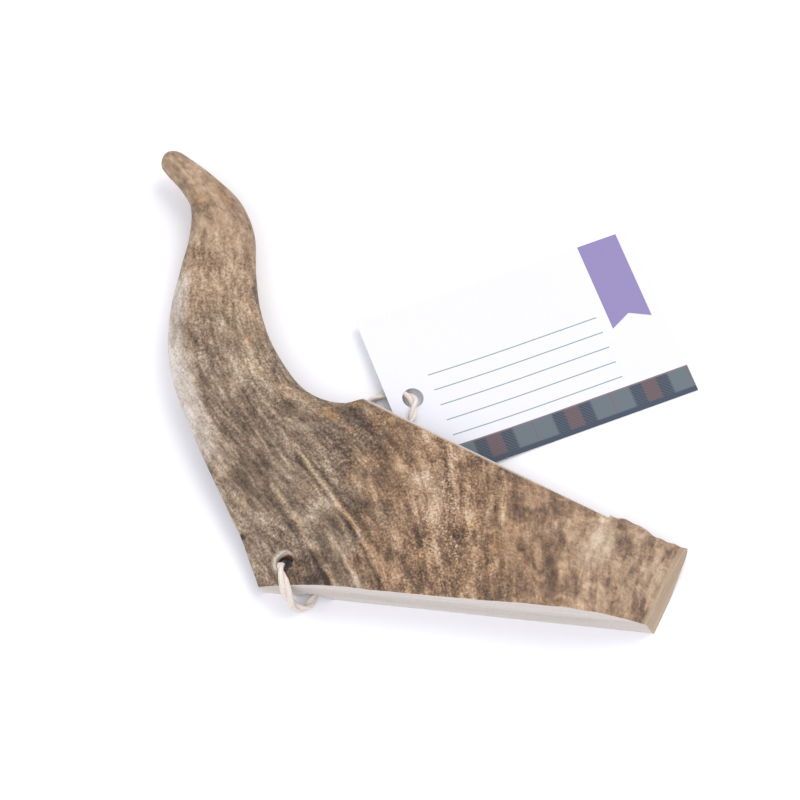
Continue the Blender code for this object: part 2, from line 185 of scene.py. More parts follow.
# Marks on the skin: x, y, width, height and strength.
PALE_MARKS = (
    (-65.5, -12.0, 3.0, 12.0, 0.15),
    (52.0, -46.0, 7.0, 5.0, 0.3),
    (57.0, -66.0, 6.0, 3.0, 0.3),
    (52.0, -55.0, 3.0, 8.0, 0.3),
    (67.0, -58.0, 3.0, 6.0, 0.3),
    (3.0, -34.0, 8.0, 6.0, 0.3),
    (46.0, -56.0, 4.0, 7.0, 0.35),
    (36.0, -47.0, 6.0, 4.0, 0.35),
    (-30.6, -16.9, 5.0, 2.6, 0.5),
    (-57.0, -27.0, 5.0, 9.0, 0.22),
    (-50.0, 6.0, 10.0, 14.0, 0.18),
    (-73.0, 69.0, 6.0, 6.0, 0.25),
)
ORANGE_MARKS = (
    (-26.0, -10.0, 10.0, 4.0, 0.65),
    (-48.0, 20.0, 4.5, 12.0, 0.4),
    (-42.0, -3.0, 7.0, 6.0, 0.4),
    (-31.0, -58.0, 9.0, 6.0, 0.35),
    (-58.0, -30.0, 5.0, 9.0, 0.35),
    (-52.0, -42.0, 4.0, 8.0, 0.3),
    (-60.0, 57.0, 8.0, 7.0, 0.6),
    (-73.0, 68.0, 6.0, 6.0, 0.3),
    (-30.0, -38.0, 8.0, 5.0, 0.3),
    (22.0, -52.0, 8.0, 9.0, 0.6),
    (0.0, -55.0, 9.0, 8.0, 0.5),
    (-12.0, -36.0, 9.0, 8.0, 0.3),
)
DARK_MARKS = (
    (-15.0, -19.0, 9.0, 7.0, 1.0),
    (-30.0, -58.0, 10.0, 6.0, 1.2),
    (-47.0, -26.0, 9.0, 6.0, 0.75),
    (-38.0, -36.0, 8.0, 7.0, 0.6),
    (-54.0, -17.0, 3.0, 7.0, 0.4),
    (-62.5, 33.0, 4.0, 10.0, 0.65),
    (-57.0, 52.0, 7.0, 6.0, 0.65),
    (-52.0, 40.0, 3.0, 9.0, 0.35),
    (-9.0, -28.0, 7.0, 6.0, 0.25),
    (-22.0, -46.0, 4.0, 6.0, 0.3),
    (43.0, -39.0, 4.0, 5.0, 0.55),
    (29.0, -40.0, 5.0, 8.0, 0.5),
    (39.0, -53.0, 4.0, 7.0, 0.5),
    (58.0, -56.0, 2.6, 8.0, 0.65),
    (64.0, -55.0, 3.0, 8.0, 0.4),
    (12.0, -58.0, 3.0, 7.0, 0.35),
)
CRUST_MARKS = (
    (2.5, -32.0, 9.0, 5.0, 0.9),
    (-1.0, -46.0, 6.0, 8.0, 0.8),
    (9.0, -45.0, 5.0, 18.0, 1.0),
    (-12.0, -22.0, 8.0, 8.0, 0.5),
    (-24.0, -62.0, 5.0, 5.0, 0.4),
)
PALE_EDGE_WIDTH = 4.8       # the worn pale edge at the left, between these heights
PALE_EDGE_LOW = -30.0
PALE_EDGE_TOP = 24.0

# Colours of the skin and of the sawn bone. A ramp lists places and colours, from dark to pale.
SKIN_GREY = ((0.05, "3A2E24"), (0.28, "604F40"), (0.47, "806C58"), (0.66, "A28E77"), (0.9, "CCBEAB"))
SKIN_BROWN = ((0.05, "3C2C20"), (0.28, "624B38"), (0.47, "876A50"), (0.66, "AC8C6D"), (0.9, "D1B79C"))
SKIN_HONEY = ((0.05, "4F3D2F"), (0.28, "7A624E"), (0.5, "A2876C"), (0.7, "BDA388"), (0.95, "D8C6B0"))
SKIN_ORANGE = ((0.1, "573F28"), (0.45, "8E6C46"), (0.7, "B5916A"), (0.95, "D4BB98"))
SKIN_CREAM = ((0.2, "857566"), (0.5, "AC9C8B"), (0.75, "C6B9AA"), (0.95, "DCD3C8"))
SKIN_WORN = ((0.2, "866F57"), (0.5, "A58F76"), (0.8, "BDAA92"))
SKIN_CRUST = "D6C6B2"
SLANT_RIM = "C4B3A0"
HOLE_RIM = "CDBDAA"
SAWN_CREAM = ((0.1, "948A7F"), (0.4, "BDB3A9"), (0.62, "D0C8C0"), (0.9, "E4DED8"))
SAWN_TAN = ((0.1, "866F57"), (0.45, "A9937A"), (0.8, "C4B19A"))
# Colour of the painted shade on the bore's lower and right-hand wall.
BORE_SHADE_COLOUR = "6E4A34"

# String, as in the CAD: one twine from the knot up the hole, to the tag and back.
STRING_ROUTE = (
    (-38.2, -51.5, 2.6),
    (-38.5, -53.0, 2.9),
    (-38.7, -54.3, 3.8),
    (-38.9, -55.2, 5.1),
    (-39.0, -55.5, 6.7),
    (-39.05, -55.8, 8.3),
    (-39.05, -56.7, 9.7),
    (-38.9, -58.0, 10.5),
    (-38.6, -59.6, 10.8),
    (-38.2, -61.2, 10.5),
    (-37.8, -62.7, 9.7),
    (-37.4, -63.9, 8.4),
    (-37.0, -64.7, 6.9),
    (-36.5, -65.3, 5.3),
    (-35.8, -65.8, 3.8),
    (-34.8, -66.3, 2.5),
    (-33.3, -66.5, 1.6),
    (-31.5, -65.6, 1.15),
    (-29.9, -63.0, 1.1),
    (-28.4, -59.0, 1.1),
    (-26.0, -49.0, 1.1),
    (-23.2, -37.0, 1.1),
    (-20.8, -25.0, 1.1),
    (-18.8, -14.0, 1.1),
    (-16.6, -6.8, 1.1),
    (-13.6, -3.0, 1.1),
    (-10.4, -1.2, 1.1),
    (-7.4, -0.6, 1.1),
    (-4.9, -0.8, 1.15),
    (-2.9, -1.8, 1.7),
    (-1.75, -3.3, 2.7),
    (-1.4, -5.4, 3.75),
    (-1.7, -8.1, 4.2),
    (-2.5, -11.2, 4.3),
    (-3.9, -14.4, 4.6),
    (-5.8, -18.0, 4.1),
    (-8.6, -22.6, 2.4),
    (-12.0, -27.6, 1.2),
    (-20.0, -37.4, 1.1),
    (-27.0, -43.6, 1.1),
    (-31.2, -45.8, 1.3),
    (-34.0, -47.0, 1.9),
)
PLY_RADIUS = 0.62
PLY_OFFSET = 0.52
PLY_TURN = 10.5             # length of one full twist
PLY_START = 0.6             # how far round the plies start
# Where along the string the plies lie looser and thicker, how far, and how much: over the antler's edge
# and where it comes out of the card's hole.
LOOSE_PARTS = ((18.5, 7.0, 0.42), (104.0, 7.0, 0.3))
LOOSE_TURN = 3.0            # how much slower the plies turn there
FRAY_RUN = 3.0              # how long the frayed end of a tail is
PLY_UNEVEN = 0.05           # share by which a ply's thickness changes along it
PLY_SIDES = 10
RING_STEP = 0.4
KNOT_CENTRE = (-38.0, -48.1, 2.4)
KNOT_SIZE = (7.2, 5.8, 4.6)
TAIL_ENDS = ((-44.6, -45.0, 1.1), (-41.0, -41.4, 1.1))

# Card.
TAG_WIDTH = 86.0
TAG_HEIGHT = 54.7
TAG_THICKNESS = 0.4
TAG_CORNER = (0.9, -29.9)
TAG_TURN = math.radians(20.9)
TAG_HOLE = (7.2, 26.3)
TAG_HOLE_RADIUS = 3.1
TAG_LIFT = 3.1              # how high its left edge is lifted, and how far in the curl reaches
TAG_CURL = 45.0
TAG_REST = 0.05
TAG_PUNCH_DEPTH = 20.0
# Print on the card, from its lower left corner. The ribbon's end is cut in, with its corners lower.
RIBBON_MIDDLE = 76.35
RIBBON_WIDTH = 12.3
RIBBON_NOTCH = 29.7
RIBBON_SLOPE = 0.5
RIBBON_COLOUR = "897EAB"
RULE_START = 11.5           # ruled lines: the lowest, their distance, their thickness as a share of it
RULE_STEP = 5.0
RULE_SHARE = 0.07
RULE_AREA = (14.0, 67.0, 11.0, 33.0)
RULE_COLOUR = "8A9B97"
CHECK_TOP = 8.4             # top of the woven band
CHECK_WIDTH = 24.3          # one repeat of its checks, and where a repeat starts
CHECK_START = 12.7
RED_BORDER = (0.105, 0.085)  # soft borders from outside to inside, as shares of a repeat from its middle
DARK_BORDER = (0.27, 0.225)
THIN_BORDER = (0.485, 0.492)
HEM_BORDER = (1.7, 1.2)     # the same in millimetres up the card
LINE_BORDER = (7.8, 8.1)
TWILL_TURN = 5.6            # how closely the slanting threads of the weave lie

# Light: name, place in metres, size, power and colour of each lamp.
LAMPS = (
    ("key", (0.55, 0.65, 1.1), 1.0, 9.4, "FFFCF6"),
    ("fill", (-0.5, -0.8, 1.0), 1.3, 6.4, "F8F9FF"),
)
SKY_COLOUR = "F6F7FF"
SKY_STRENGTH = 0.85


def colour(code):
    """A colour written as six hexadecimal digits, as the linear numbers that a shader takes."""
    channels = []
    for index in (0, 2, 4):
        value = int(code[index:index + 2], 16) / 255.0
        channels.append(value / 12.92 if value <= 0.04045 else ((value + 0.055) / 1.055) ** 2.4)
    return (*channels, 1.0)


class Recipe:
    """A material's nodes, added one at a time. Every method gives back the socket of its result."""

    def __init__(self, name, roughness):
        self.material = bpy.data.materials.new(name)
        self.material.use_nodes = True
        self.tree = self.material.node_tree
        self.shader = self.tree.nodes["Principled BSDF"]
        self.shader.inputs["Roughness"].default_value = roughness

    def add(self, kind, **settings):
        made = self.tree.nodes.new(kind)
        for name, value in settings.items():
            setattr(made, name, value)
        return made

    def feed(self, socket, source):
        if isinstance(source, bpy.types.NodeSocket):
            self.tree.links.new(source, socket)
        else:
            socket.default_value = source

    def attribute(self, name, output="Fac"):
        return self.add("ShaderNodeAttribute", attribute_name=name).outputs[output]

    def place(self):
        """The place on the object, in millimetres."""
        per_mm = 1.0 / MM
        return self.stretched(self.add("ShaderNodeTexCoord").outputs["Object"], (per_mm, per_mm, per_mm))

    def stretched(self, vector, factors):
        made = self.add("ShaderNodeVectorMath", operation="MULTIPLY")
        self.feed(made.inputs[0], vector)
        self.feed(made.inputs[1], factors)
        return made.outputs[0]

    def split(self, vector):
        made = self.add("ShaderNodeSeparateXYZ")
        self.feed(made.inputs[0], vector)
        return made.outputs

    def inside(self, place, cut):
        """How many millimetres a place lies inside a saw cut's plane."""
        direction = Vector(cut[1]).normalized()
        made = self.add("ShaderNodeVectorMath", operation="DOT_PRODUCT")
        self.feed(made.inputs[0], place)
        self.feed(made.inputs[1], direction)
        return self.maths("SUBTRACT", direction.dot(Vector(cut[0])), made.outputs["Value"])

    def beside(self, place, distance):
        """The place with its height replaced by a distance, for lines at that distance from a plane."""
        x, y, _ = self.split(place)
        made = self.add("ShaderNodeCombineXYZ")
        for socket, source in zip(made.inputs, (x, y, distance)):
            self.feed(socket, source)
        return made.outputs[0]

    def maths(self, operation, first, second=0.0, third=0.0):
        made = self.add("ShaderNodeMath", operation=operation)
        for socket, source in zip(made.inputs, (first, second, third)):
            self.feed(socket, source)
        return made.outputs[0]

    def times(self, first, second):
        return self.maths("MULTIPLY", first, second)

    def total(self, start, *terms):
        """start plus each (socket, weight) pair."""
        result = start
        for socket, weight in terms:
            result = self.maths("MULTIPLY_ADD", socket, weight, result)
        return result

    def within(self, value, low, high):
        """1 between low and high, and 0 outside."""
        above = self.maths("GREATER_THAN", value, low)
        return self.times(above, self.maths("LESS_THAN", value, high))

    def repeats(self, value, start, length):
        """How far a value is through its repeat of that length, from 0 to 1."""
        return self.maths("FRACT", self.maths("DIVIDE", self.maths("SUBTRACT", value, start), length))

    def spots(self, vector, factors, detail, roughness, distortion=0.0):
        """Cloudy noise over a vector times the factors, as a number about 0."""
        made = self.add("ShaderNodeTexNoise")
        self.feed(made.inputs["Vector"], self.stretched(vector, factors))
        made.inputs["Scale"].default_value = 1.0
        made.inputs["Detail"].default_value = detail
        made.inputs["Roughness"].default_value = roughness
        made.inputs["Distortion"].default_value = distortion
        return self.maths("SUBTRACT", made.outputs["Fac"], 0.5)

    def spread(self, value, low, high):
        """Turns low to high into 0 to 1, smoothly and within those limits."""
        made = self.add("ShaderNodeMapRange", interpolation_type="SMOOTHSTEP")
        for socket, source in zip(made.inputs, (value, low, high)):
            self.feed(socket, source)
        return made.outputs[0]

    def ramp(self, value, stops):
        made = self.add("ShaderNodeValToRGB")
        elements = made.color_ramp.elements
        while len(elements) < len(stops):
            elements.new(0.5)
        for element, (position, code) in zip(elements, stops):
            element.position = position
            element.color = colour(code)
        self.feed(made.inputs[0], value)
        return made.outputs[0]

    def mix(self, factor, first, second):
        made = self.add("ShaderNodeMix", data_type="RGBA")
        self.feed(made.inputs["Factor"], factor)
        self.feed(made.inputs[6], colour(first) if isinstance(first, str) else first)
        self.feed(made.inputs[7], colour(second) if isinstance(second, str) else second)
        return made.outputs[2]

    def bump(self, height, distance, strength):
        made = self.add("ShaderNodeBump")
        made.inputs["Distance"].default_value = distance * MM
        made.inputs["Strength"].default_value = strength
        self.feed(made.inputs["Height"], height)
        self.feed(self.shader.inputs["Normal"], made.outputs[0])

    def paint(self, result):
        self.feed(self.shader.inputs["Base Color"], result)


def add_object(name, mesh, *materials):
    item = bpy.data.objects.new(name, mesh)
    bpy.context.collection.objects.link(item)
    for material in materials:
        mesh.materials.append(material)
    return item


def mesh_from(name, build):
    """Makes a mesh with a function that fills a bmesh."""
    mesh = bpy.data.meshes.new(name)
    work = bmesh.new()
    build(work)
    bmesh.ops.recalc_face_normals(work, faces=work.faces)
    work.to_mesh(mesh)
    work.free()
    return mesh


def join_rings(work, rings):
    """Faces between each ring and the next, and one over each end."""
    for ring, following in zip(rings, rings[1:]):
        for index in range(len(ring)):
            beside = (index + 1) % len(ring)
            work.faces.new((ring[index], ring[beside], following[beside], following[index]))
    work.faces.new(rings[0])
    work.faces.new(rings[-1])


def make_camera():
    data = bpy.data.cameras.new("camera")
    data.lens = CAMERA_LENS
    data.sensor_width = 36.0
    camera = bpy.data.objects.new("camera", data)
    camera.location = CAMERA_PLACE
    camera.rotation_euler = (CAMERA_TILT, 0.0, 0.0)
    bpy.context.collection.objects.link(camera)
    bpy.context.scene.camera = camera


def smoothstep(value):
    value = min(max(value, 0.0), 1.0)
    return value * value * (3.0 - 2.0 * value)


def fade(value, start, end):
    """From 0 at start to 1 at end, smoothly and within those limits."""
    return smoothstep((value - start) / (end - start))


def smooth_row(rows, position):
    """Reads a smooth curve through rows of numbers; position counts rows."""
    last = len(rows) - 1
    index = min(max(int(position), 0), last - 1)
    t = position - index
    before = rows[max(index - 1, 0)]
    start = rows[index]
    end = rows[index + 1]
    after = rows[min(index + 2, last)]
    weights = (
        -0.5 * t + t * t - 0.5 * t ** 3,
        1.0 - 2.5 * t * t + 1.5 * t ** 3,
        0.5 * t + 2.0 * t * t - 1.5 * t ** 3,
        -0.5 * t * t + 0.5 * t ** 3,
    )
    return [sum(w * v for w, v in zip(weights, values)) for values in zip(before, start, end, after)]


# The twine

def evenly(points, step):
    """A smooth line through the points, with a point every step."""
    finer = 20
    fine = [Vector(smooth_row(points, index / finer)) for index in range(finer * (len(points) - 1) + 1)]
    lengths = [0.0]
    for first, second in zip(fine, fine[1:]):
        lengths.append(lengths[-1] + (second - first).length)
    count = max(2, round(lengths[-1] / step))
    wanted = np.linspace(0.0, lengths[-1], count + 1)
    columns = [np.interp(wanted, lengths, [point[axis] for point in fine]) for axis in range(3)]
    return [Vector(point) for point in zip(*columns)]


def line_length(line):
    return sum((second - first).length for first, second in zip(line, line[1:]))


def steady_frames(line):
    """A pair of sideways directions at each point of the line, that turn with it and never spin."""
    frames = []
    side = None
    for index in range(len(line)):
        ahead = (line[min(index + 1, len(line) - 1)] - line[max(index - 1, 0)]).normalized()
        if side is None:
            side = ahead.orthogonal().normalized()
        side = (side - ahead * side.dot(ahead)).normalized()
        frames.append((side, ahead.cross(side)))
    return frames


def looseness(along, loose_parts):
    """How much looser and thicker the plies lie at this distance along the twine."""
    return sum(swell * math.exp(-((along - middle) / reach) ** 4) for middle, reach, swell in loose_parts)


def lay_twine(work, line, fray=0.0, loose_parts=()):
    """Two plies twisted around the line, looser in some parts; with fray they part towards its end.

    Where the twine lies on the floor its underside is pressed flat.
    """
    frames = steady_frames(line)
    layers = work.verts.layers.float_vector
    layer = layers["twine"] if "twine" in layers else layers.new("twine")
    step = line_length(line) / (len(line) - 1)
    for ply in (0, 1):
        rings = []
        turn = math.tau * PLY_START + math.pi * ply
        for index, (point, (side, other)) in enumerate(zip(line, frames)):
            along = index * step
            loose = looseness(along, loose_parts)
            turn += math.tau * step / PLY_TURN / (1.0 + LOOSE_TURN * loose)
            end = max(0.0, 1.0 - (len(line) - 1 - index) * step / FRAY_RUN)
            offset = PLY_OFFSET * (1.0 + fray * end) * (1.0 + loose)
            uneven = 1.0 + PLY_UNEVEN * noise.noise(Vector((along * 0.6, ply * 7.0, 1.0)))
            centre = point + (side * math.cos(turn) + other * math.sin(turn)) * offset
            ring = []
            for corner in range(PLY_SIDES):
                angle = math.tau * corner / PLY_SIDES
                reach = PLY_RADIUS * uneven * (1.0 - 0.5 * fray * end) * (1.0 + loose)
                spot = centre + (side * math.cos(angle) + other * math.sin(angle)) * reach
                spot.z = max(spot.z, 0.0)
                vert = work.verts.new(spot * MM)
                vert[layer] = (along, math.cos(angle - turn) + 3.0 * ply, math.sin(angle - turn))
                ring.append(vert)
            rings.append(ring)
        join_rings(work, rings)


def cotton_material(name, tint):
    recipe = Recipe(name, 0.85)
    twine = recipe.attribute("twine", "Vector")
    along, around, _ = recipe.split(twine)
    slope = recipe.maths("MULTIPLY_ADD", along, 0.12, around)
    strands = recipe.maths("SINE", recipe.times(slope, 11.0))
    fibres = recipe.spots(recipe.place(), (3.0, 3.0, 3.0), 4.0, 0.65)
    shade = recipe.total(0.5, (strands, 0.12), (fibres, 0.9))
    recipe.paint(recipe.ramp(shade, ((0.1, "B8A793"), (0.45, tint), (0.8, "F0E8E0"))))
    recipe.bump(shade, 0.25, 0.7)
    recipe.shader.inputs["Sheen Weight"].default_value = 0.25
    recipe.shader.inputs["Specular IOR Level"].default_value = 0.2
    return recipe.material


def make_string(knot):
    line = evenly(STRING_ROUTE, RING_STEP)
    mesh = mesh_from("string_twine", lambda work: lay_twine(work, line, loose_parts=LOOSE_PARTS))
    mesh.shade_smooth()
    string = add_object("string_twine", mesh, cotton_material("string_cotton", "E2D6CA"))
    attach(string, "root")
    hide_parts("string")


def knot_line():
    """An overhand knot, pressed flat enough for the hollow above it."""
    slack = 1.1
    steps = 48
    centre = Vector(KNOT_CENTRE)
    points = []
    for step in range(steps + 1):
        turn = math.tau * step / steps
        spot = Vector((
            (math.sin(turn) + 2.0 * math.sin(2.0 * turn)) / 3.0 * (KNOT_SIZE[0] / 2 - slack),
            (math.cos(turn) - 2.0 * math.cos(2.0 * turn)) / 3.0 * (KNOT_SIZE[1] / 2 - slack),
            -math.sin(3.0 * turn) * (KNOT_SIZE[2] / 2 - slack),
        ))
        points.append(centre + spot)
    return points


def make_knot():
    def tied(work):
        lay_twine(work, evenly(knot_line(), RING_STEP))
        for number, end in enumerate(TAIL_ENDS):
            start = Vector(KNOT_CENTRE)
            finish = Vector(end)
            bend = start.lerp(finish, 0.5) + Vector((0.0, 0.3 - 0.6 * number, 0.3))
            lay_twine(work, evenly([start, bend, start.lerp(finish, 0.9)], RING_STEP), fray=0.35)

    mesh = mesh_from("knot_tied", tied)
    mesh.shade_smooth()
    knot = add_object("knot_tied", mesh, cotton_material("knot_cotton", "DACCBD"))
    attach(knot, "root")
    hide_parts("knot")
    return knot


# The antler

@lru_cache(maxsize=None)
def edge_curve(column):
    """The plan of one edge: column 0 is the left edge, column 2 the right."""
    finer = 12
    steps = finer * (len(STATIONS) - 1)
    return np.array([smooth_row(STATIONS, step / finer)[column:column + 2] for step in range(steps + 1)])


def edge_distances(x, y):
    """Distances in plan to the left and to the right edge of the grown shape."""
    nearest = []
    for column in (0, 2):
        curve = edge_curve(column)
        start = curve[:-1]
        run = curve[1:] - start
        along = ((np.array((x, y)) - start) * run).sum(axis=1) / (run * run).sum(axis=1)
        foot = start + run * np.clip(along, 0.0, 1.0)[:, None]
        nearest.append(np.hypot(foot[:, 0] - x, foot[:, 1] - y).min())
    return nearest


def rounded(distance, run, bevel=0.0):
    """From 0 at an edge to 1 at the full thickness: an arc, or with bevel 1 a flatter slope."""
    outside = 1.0 - min(distance / run, 1.0)
    return (1.0 - outside ** 2) ** (0.5 + 0.5 * bevel)


def fullness(x, y, half_width):
    """How much of its full height the back, and then the underside, has at this place."""
    left, right = edge_distances(x, y)
    palm = smoothstep((BEVEL_TOP_Y - y) / BEVEL_FADE)
    run = min(half_width, EDGE_ROUNDING)
    bevel_run = run + (BEVEL_RUN - run) * palm
    belly_run = run + (BELLY_ROUNDING - run) * palm
    above = min(rounded(left, bevel_run, palm), rounded(right, run))
    below = min(rounded(left, belly_run), rounded(right, run))
    return above, below


def grain(x, y):
    """Millimetres across and along the grain, which leans left at the palm's left and right at its end."""
    drift = np.interp(y, GRAIN_HEIGHTS, GRAIN_DRIFT)
    share = np.interp(x, GRAIN_PLACES, GRAIN_SHARES)
    return x + share * drift, y


def cloud(x, y, size, seed, length=None):
    """Smooth noise about 0, with lumps of that size, or longer along y than across."""
    return noise.noise(Vector((x / size, y / (length or size), seed)))


def relief(x, y, side):
    """Furrows along the grain and broad lumps, as in the CAD."""
    across, along = grain(x, y)
    furrow = cloud(across, along, FURROW_WIDTH, 3.0 + 9.0 * side, FURROW_LENGTH)
    lump = cloud(x, y, LUMP_SIZE, 7.0 + 5.0 * side)
    strength = 1.0 if side else UNDERSIDE_RELIEF
    return strength * (FURROW_DEPTH * furrow + LUMP_HEIGHT * lump)


def vein_height(x, y):
    """Raised veins, each with a thin furrow along its left side."""
    height = 0.0
    for start, end, width, rise in VEINS:
        start = Vector(start)
        run = Vector(end) - start
        wander = VEIN_WANDER * cloud(x, y, 7.0, 31.0)
        spot = Vector((x + wander, y)) - start
        along = spot.dot(run) / run.length_squared
        shown = smoothstep((along + 0.1) * 4.0) * smoothstep((1.1 - along) * 4.0)
        beside = (run.x * spot.y - run.y * spot.x) / run.length
        height += rise * shown * math.exp(-(beside / width) ** 2)
        height -= VEIN_FURROW * rise * shown * math.exp(-((beside + 1.9 * width) / width) ** 2)
    return height


def fine_relief(x, y):
    """The small shapes of the skin, in millimetres."""
    across, along = grain(x, y)
    palm = fade(y, 8.0, -12.0)
    right = fade(x, 20.0, 50.0)
    furrows = cloud(across, along, 1.9, 11.0, 11.0) + 0.6 * cloud(across, along, 1.1, 13.0, 6.0)
    grains = cloud(x, y, 1.5, 17.0) + 0.6 * cloud(x, y, 0.9, 37.0)
    lumps = cloud(x, y, 5.5, 19.0, 7.5)
    height = (FINE_FURROW + FINE_FURROW_PALM * palm) * furrows
    height += (FINE_GRAIN + FINE_GRAIN_PALM * palm) * grains
    height += (FINE_LUMP + FINE_LUMP_RIGHT * right) * lumps
    return height + vein_height(x, y)


def underside_height(x, y):
    """How far the middle of the underside stands off the floor; below zero is worn flat."""
    from_cut = -((x - LONG_CUT[0][0]) * LONG_CUT[1][0] + (y - LONG_CUT[0][1]) * LONG_CUT[1][1])
    arch = ARCH_HEIGHT * smoothstep(from_cut / ARCH_RUN)
    arch *= 1.0 - smoothstep((y - ARCH_END_Y) / ARCH_FADE)
    arch *= 1.0 - (1.0 - ARCH_END_SHARE) * smoothstep((x - ARCH_END_X) / ARCH_END_RUN)
    for centre_x, centre_y, radius, height in HOLLOWS:
        away = math.hypot(x - centre_x, y - centre_y)
        arch = max(arch, height * math.exp(-(away / radius) ** 4))
    tip = TIP_LIFT * max(0.0, (y - BELLY_Y) / (STATIONS[0][3] - BELLY_Y)) ** 1.3
    return arch + tip - WORN_FLAT


def antler_point(row, share, side, cap):
    """A point on the antler: share runs from its left edge to its right, side is 1 on the back, 0 below."""
    left = Vector((row[0], row[1]))
    right = Vector((row[2], row[3]))
    rim = row[4]
    back = row[5]
    middle = (left + right) / 2
    place = left.lerp(right, share)
    above, below = fullness(*place, (right - left).length / 2)
    x, y = middle + (place - middle) * cap
    ridge = RIDGE_HEIGHT * math.exp(-((x - RIDGE_X - RIDGE_LEAN * (y - LONG_CUT[0][1])) / RIDGE_WIDTH) ** 2)
    ridge *= smoothstep((RIDGE_TOP_Y - y) / RIDGE_FADE)
    from_end = -((x - END_CUT[0][0]) * END_CUT[1][0] + (y - END_CUT[0][1]) * END_CUT[1][1])
    fall = END_FALL * (1.0 - smoothstep(from_end / END_FALL_RUN))
    shape = relief(x, y, side)
    if side:
        z = rim + (back + ridge - fall - rim + shape + fine_relief(x, y)) * above * cap
    else:
        z = rim - (rim - underside_height(x, y) + shape + UNDERSIDE_RELIEF * fine_relief(x, y)) * below * cap
    knob = KNOB_HEIGHT * cloud(x, y, KNOB_SIZE, 2.0)
    knob *= smoothstep((x - KNOB_START_X) / KNOB_FADE)
    small_knob = SMALL_KNOB_HEIGHT * cloud(x, y, SMALL_KNOB_SIZE, 47.0)
    knob += small_knob * fade(x, SMALL_KNOB_START_X, SMALL_KNOB_FULL_X)
    knob -= SAW_DENT * math.exp(-((x - SAW_DENT_X) / SAW_DENT_WIDTH) ** 2)
    knob *= 1.0 - above
    return Vector((x, y + knob, max(z, 0.0)))


def ring_positions():
    """Station positions of the rings: close together over the rounded tip, then even along the middle."""
    samples = 400
    last = len(STATIONS) - 1
    lengths = [0.0]
    middles = []
    for step in range(samples + 1):
        row = smooth_row(STATIONS, last * step / samples)
        middles.append(Vector(((row[0] + row[2]) / 2, (row[1] + row[3]) / 2)))
    for first, second in zip(middles, middles[1:]):
        lengths.append(lengths[-1] + (second - first).length)
    distances = []
    for step in range(1, TIP_RINGS):
        distances.append(TIP_ROUNDING * (1.0 - math.cos(math.pi / 2 * step / TIP_RINGS)))
    for step in range(RINGS + 1):
        distances.append(TIP_ROUNDING + (lengths[-1] - TIP_ROUNDING) * step / RINGS)
    stations = np.interp(distances, lengths, np.linspace(0.0, last, samples + 1))
    return list(zip(stations, distances))


def column_shares(columns):
    """Where the columns stand across a ring: closer together at the two edges."""
    shares = []
    for step in range(columns + 1):
        even = step / columns
        crowded = (1.0 - math.cos(math.pi * even)) / 2
        shares.append(0.45 * even + 0.55 * crowded)
    return shares


def grow_antler(work):
    """Fills a bmesh with the whole grown shape: rings of vertices from the tip to the last station."""
    back_shares = column_shares(BACK_COLUMNS)
    below_shares = column_shares(BELOW_COLUMNS)
    rings = []
    for position, distance in ring_positions():
        row = smooth_row(STATIONS, position)
        cap = math.sqrt(1.0 - (1.0 - min(distance / TIP_ROUNDING, 1.0)) ** 2)
        back = [antler_point(row, share, 1, cap) for share in back_shares]
        below = [antler_point(row, share, 0, cap) for share in reversed(below_shares[1:-1])]
        rings.append([work.verts.new(point * MM) for point in back + below])
    first = STATIONS[0]
    tip = work.verts.new(Vector(((first[0] + first[2]) / 2, (first[1] + first[3]) / 2, first[4])) * MM)
    count = len(rings[0])
    for index in range(count):
        work.faces.new((tip, rings[0][index], rings[0][(index + 1) % count]))
    for ring, following in zip(rings, rings[1:]):
        for index in range(count):
            beside = (index + 1) % count
            work.faces.new((ring[index], following[index], following[beside], ring[beside]))
    work.faces.new(rings[-1])


def cut_with(target, name, mesh, matrix):
    """Takes a mesh's shape away from the target, for good."""
    cutter = add_object(name, mesh)
    cutter.matrix_world = matrix
    cut = target.modifiers.new(name, "BOOLEAN")
    cut.operation = "DIFFERENCE"
    cut.solver = "EXACT"
    cut.object = cutter
    graph = bpy.context.evaluated_depsgraph_get()
    shaped = bpy.data.meshes.new_from_object(target.evaluated_get(graph))
    target.modifiers.clear()
    target.data = shaped
    bpy.data.objects.remove(cutter, do_unlink=True)


def saw(target, name, cut):
    """Saws off what lies beyond a plane, with a block whose face is on the plane."""
    direction = Vector(cut[1]).normalized()
    depth = SAW_DEPTH * MM

    def block(work):
        bmesh.ops.create_cube(work, size=1.0)
        bmesh.ops.scale(work, verts=work.verts, vec=(cut[2] * MM, depth, depth))
        bmesh.ops.translate(work, verts=work.verts, vec=(0.0, 0.0, depth / 2))

    turn = direction.to_track_quat("Z", "Y").to_matrix().to_4x4()
    cut_with(target, name, mesh_from(name, block), Matrix.Translation(Vector(cut[0]) * MM) @ turn)


def drill(target):
    """The drilled hole, with an uneven chipped mouth."""
    segments = 40

    def bit(work):
        rings = []
        for height, radius, right, uneven in HOLE_PROFILE:
            ring = []
            for index in range(segments):
                angle = math.tau * index / segments
                chip = HOLE_CHIP * cloud(2.0 * math.cos(angle), 2.0 * math.sin(angle), 1.0, 23.0)
                reach = radius + uneven * chip
                spot = Vector((reach * math.cos(angle) + right, reach * math.sin(angle), height))
                ring.append(work.verts.new(spot * MM))
            rings.append(ring)
        join_rings(work, rings)

    cut_with(target, "bit", mesh_from("bit", bit), Matrix.Translation((HOLE_X * MM, HOLE_Y * MM, 0.0)))


def pit(target):
    def ball(work):
        bmesh.ops.create_icosphere(work, subdivisions=3, radius=PIT_RADIUS * MM)

    cut_with(target, "pit", mesh_from("pit", ball), Matrix.Translation(Vector(PIT_CENTRE) * MM))


